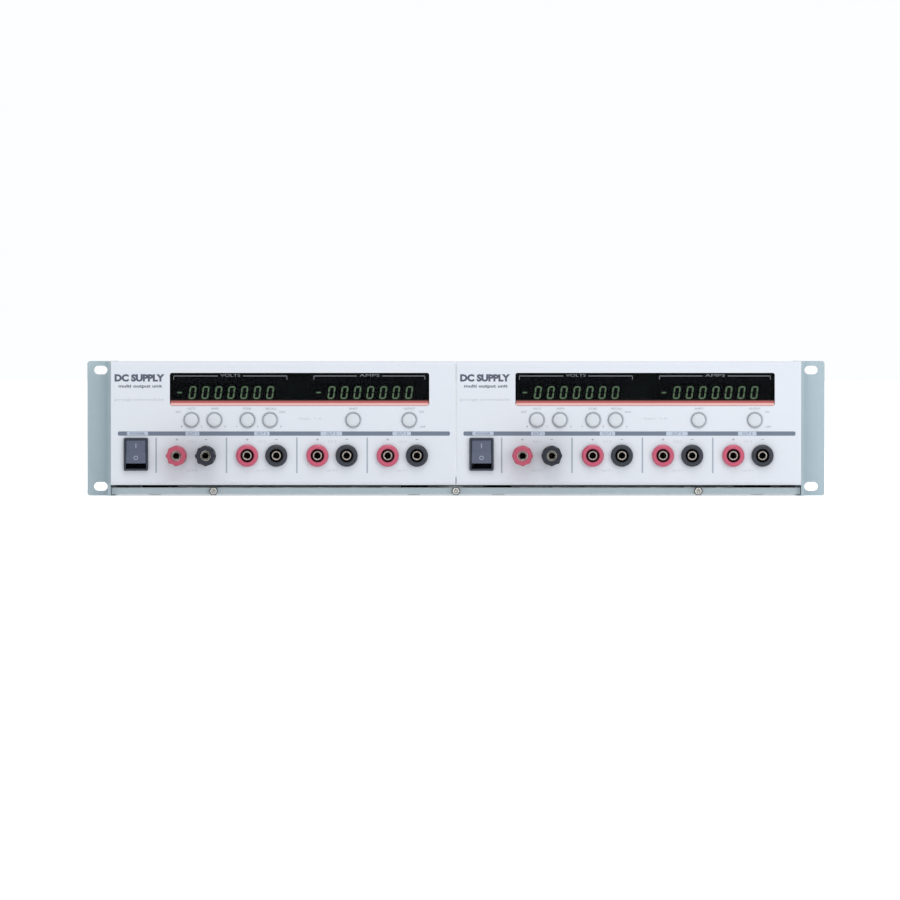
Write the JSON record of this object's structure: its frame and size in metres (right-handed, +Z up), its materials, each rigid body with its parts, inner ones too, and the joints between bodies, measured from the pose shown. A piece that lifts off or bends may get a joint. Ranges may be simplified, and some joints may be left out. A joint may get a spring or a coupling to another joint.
{
  "type": "bench power supply",
  "caption": "Rack-mounted bench power supply: half-width digital instruments side by side in a rack tray, with displays, keys, power rockers and paired output terminals.",
  "frame": {"origin": "centre of the footprint, on the plane that the ears stand on", "axes": "+X to the right as seen from the front, +Y from the front panel to the back, +Z up"},
  "size_m": [0.4826, 0.308, 0.0881],
  "materials": {
    "tray_paint": "satin",
    "ear_anodised": "satin",
    "plated_steel": "satin",
    "rubber_feet": "matte",
    "nickel": "polished",
    "red_plastic": "satin",
    "black_plastic": "satin",
    "switch_grey": "satin",
    "cable_grey": "matte",
    "bezel_plastic": "satin",
    "display_filter": "glossy",
    "digit_faces": "matte",
    "board_green": "satin",
    "case_metal": "satin",
    "cover_paint": "satin",
    "transformer_wrap": "satin",
    "brass": "satin",
    "key_plastic": "satin"
  },
  "bodies": {
    "frame": {"rack_tray": "tray_paint", "left_ear": "ear_anodised", "right_ear": "ear_anodised", "ear_screws": "plated_steel", "lip_screws": "plated_steel", "unit_screws": "plated_steel", "unit_feet": "rubber_feet", "unit_fasteners": "plated_steel", "post_studs": "nickel", "socket_contacts": "nickel", "red_terminals": "red_plastic", "black_terminals": "black_plastic", "fan_frames": "black_plastic", "power_inlets": "black_plastic", "switch_bodies": "switch_grey", "wiring": "cable_grey", "left_bezel": "bezel_plastic", "left_window": "display_filter", "left_digits": "digit_faces", "left_front_board": "board_green", "left_chassis": "case_metal", "left_cover": "cover_paint", "left_rear_panel": "case_metal", "left_transformer": "transformer_wrap", "left_main_board": "board_green", "right_bezel": "bezel_plastic", "right_window": "display_filter", "right_digits": "digit_faces", "right_front_board": "board_green", "right_chassis": "case_metal", "right_cover": "cover_paint", "right_rear_panel": "case_metal", "right_transformer": "transformer_wrap", "right_main_board": "board_green"},
    "left_key_1": {"left_key_1": "key_plastic"},
    "left_key_2": {"left_key_2": "key_plastic"},
    "left_key_3": {"left_key_3": "key_plastic"},
    "left_key_4": {"left_key_4": "key_plastic"},
    "left_key_5": {"left_key_5": "key_plastic"},
    "left_key_6": {"left_key_6": "key_plastic"},
    "left_rocker": {"left_rocker": "switch_grey"},
    "left_red_bush": {"left_red_bush": "brass"},
    "left_red_cap": {"left_red_cap": "red_plastic"},
    "left_black_bush": {"left_black_bush": "brass"},
    "left_black_cap": {"left_black_cap": "black_plastic"},
    "left_fan_rotor": {"left_fan_rotor": "black_plastic"},
    "left_fuse_drawer": {"left_fuse_drawer": "black_plastic"},
    "right_key_1": {"right_key_1": "key_plastic"},
    "right_key_2": {"right_key_2": "key_plastic"},
    "right_key_3": {"right_key_3": "key_plastic"},
    "right_key_4": {"right_key_4": "key_plastic"},
    "right_key_5": {"right_key_5": "key_plastic"},
    "right_key_6": {"right_key_6": "key_plastic"},
    "right_rocker": {"right_rocker": "switch_grey"},
    "right_red_bush": {"right_red_bush": "brass"},
    "right_red_cap": {"right_red_cap": "red_plastic"},
    "right_black_bush": {"right_black_bush": "brass"},
    "right_black_cap": {"right_black_cap": "black_plastic"},
    "right_fan_rotor": {"right_fan_rotor": "black_plastic"},
    "right_fuse_drawer": {"right_fuse_drawer": "black_plastic"}
  },
  "joints": [
    {"name": "left_key_1_press", "type": "slide", "parent": "frame", "child": "left_key_1", "axis": [0, 1, 0], "range_m": [0, 0.0012], "stiffness_N_per_m": 600},
    {"name": "left_key_2_press", "type": "slide", "parent": "frame", "child": "left_key_2", "axis": [0, 1, 0], "range_m": [0, 0.0012], "stiffness_N_per_m": 600},
    {"name": "left_key_3_press", "type": "slide", "parent": "frame", "child": "left_key_3", "axis": [0, 1, 0], "range_m": [0, 0.0012], "stiffness_N_per_m": 600},
    {"name": "left_key_4_press", "type": "slide", "parent": "frame", "child": "left_key_4", "axis": [0, 1, 0], "range_m": [0, 0.0012], "stiffness_N_per_m": 600},
    {"name": "left_key_5_press", "type": "slide", "parent": "frame", "child": "left_key_5", "axis": [0, 1, 0], "range_m": [0, 0.0012], "stiffness_N_per_m": 600},
    {"name": "left_key_6_press", "type": "slide", "parent": "frame", "child": "left_key_6", "axis": [0, 1, 0], "range_m": [0, 0.0012], "stiffness_N_per_m": 600},
    {"name": "left_rocker_tilt", "type": "hinge", "parent": "frame", "child": "left_rocker", "pos_m": [-0.20875, -0.128, 0.0273], "axis": [1, 0, 0], "range_deg": [0, 20]},
    {"name": "left_red_travel", "type": "slide", "parent": "frame", "child": "left_red_bush", "axis": [0, -1, 0], "range_m": [0, 0.004]},
    {"name": "left_red_screw", "type": "hinge", "parent": "left_red_bush", "child": "left_red_cap", "pos_m": [-0.18207, -0.145, 0.0264], "axis": [0, -1, 0], "range_deg": [0, 1441.5]},
    {"name": "left_black_travel", "type": "slide", "parent": "frame", "child": "left_black_bush", "axis": [0, -1, 0], "range_m": [0, 0.004]},
    {"name": "left_black_screw", "type": "hinge", "parent": "left_black_bush", "child": "left_black_cap", "pos_m": [-0.16303, -0.145, 0.0264], "axis": [0, -1, 0], "range_deg": [0, 1441.5]},
    {"name": "left_fan_spin", "type": "hinge", "parent": "frame", "child": "left_fan_rotor", "pos_m": [-0.0627, 0.138, 0.0476], "axis": [0, 1, 0], "continuous": true},
    {"name": "left_fuse_pull", "type": "slide", "parent": "frame", "child": "left_fuse_drawer", "axis": [0, 1, 0], "range_m": [0, 0.016]},
    {"name": "right_key_1_press", "type": "slide", "parent": "frame", "child": "right_key_1", "axis": [0, 1, 0], "range_m": [0, 0.0012], "stiffness_N_per_m": 600},
    {"name": "right_key_2_press", "type": "slide", "parent": "frame", "child": "right_key_2", "axis": [0, 1, 0], "range_m": [0, 0.0012], "stiffness_N_per_m": 600},
    {"name": "right_key_3_press", "type": "slide", "parent": "frame", "child": "right_key_3", "axis": [0, 1, 0], "range_m": [0, 0.0012], "stiffness_N_per_m": 600},
    {"name": "right_key_4_press", "type": "slide", "parent": "frame", "child": "right_key_4", "axis": [0, 1, 0], "range_m": [0, 0.0012], "stiffness_N_per_m": 600},
    {"name": "right_key_5_press", "type": "slide", "parent": "frame", "child": "right_key_5", "axis": [0, 1, 0], "range_m": [0, 0.0012], "stiffness_N_per_m": 600},
    {"name": "right_key_6_press", "type": "slide", "parent": "frame", "child": "right_key_6", "axis": [0, 1, 0], "range_m": [0, 0.0012], "stiffness_N_per_m": 600},
    {"name": "right_rocker_tilt", "type": "hinge", "parent": "frame", "child": "right_rocker", "pos_m": [0.01665, -0.128, 0.0273], "axis": [1, 0, 0], "range_deg": [0, 20]},
    {"name": "right_red_travel", "type": "slide", "parent": "frame", "child": "right_red_bush", "axis": [0, -1, 0], "range_m": [0, 0.004]},
    {"name": "right_red_screw", "type": "hinge", "parent": "right_red_bush", "child": "right_red_cap", "pos_m": [0.04333, -0.145, 0.0264], "axis": [0, -1, 0], "range_deg": [0, 1441.5]},
    {"name": "right_black_travel", "type": "slide", "parent": "frame", "child": "right_black_bush", "axis": [0, -1, 0], "range_m": [0, 0.004]},
    {"name": "right_black_screw", "type": "hinge", "parent": "right_black_bush", "child": "right_black_cap", "pos_m": [0.06237, -0.145, 0.0264], "axis": [0, -1, 0], "range_deg": [0, 1441.5]},
    {"name": "right_fan_spin", "type": "hinge", "parent": "frame", "child": "right_fan_rotor", "pos_m": [0.1627, 0.138, 0.0476], "axis": [0, 1, 0], "continuous": true},
    {"name": "right_fuse_pull", "type": "slide", "parent": "frame", "child": "right_fuse_drawer", "axis": [0, 1, 0], "range_m": [0, 0.016]}
  ],
  "couplings": [
    {"joint": "left_red_screw", "follows": "left_red_travel", "rad_per_m": 6283.2},
    {"joint": "left_black_screw", "follows": "left_black_travel", "rad_per_m": 6283.2},
    {"joint": "right_red_screw", "follows": "right_red_travel", "rad_per_m": 6283.2},
    {"joint": "right_black_screw", "follows": "right_black_travel", "rad_per_m": 6283.2}
  ]
}
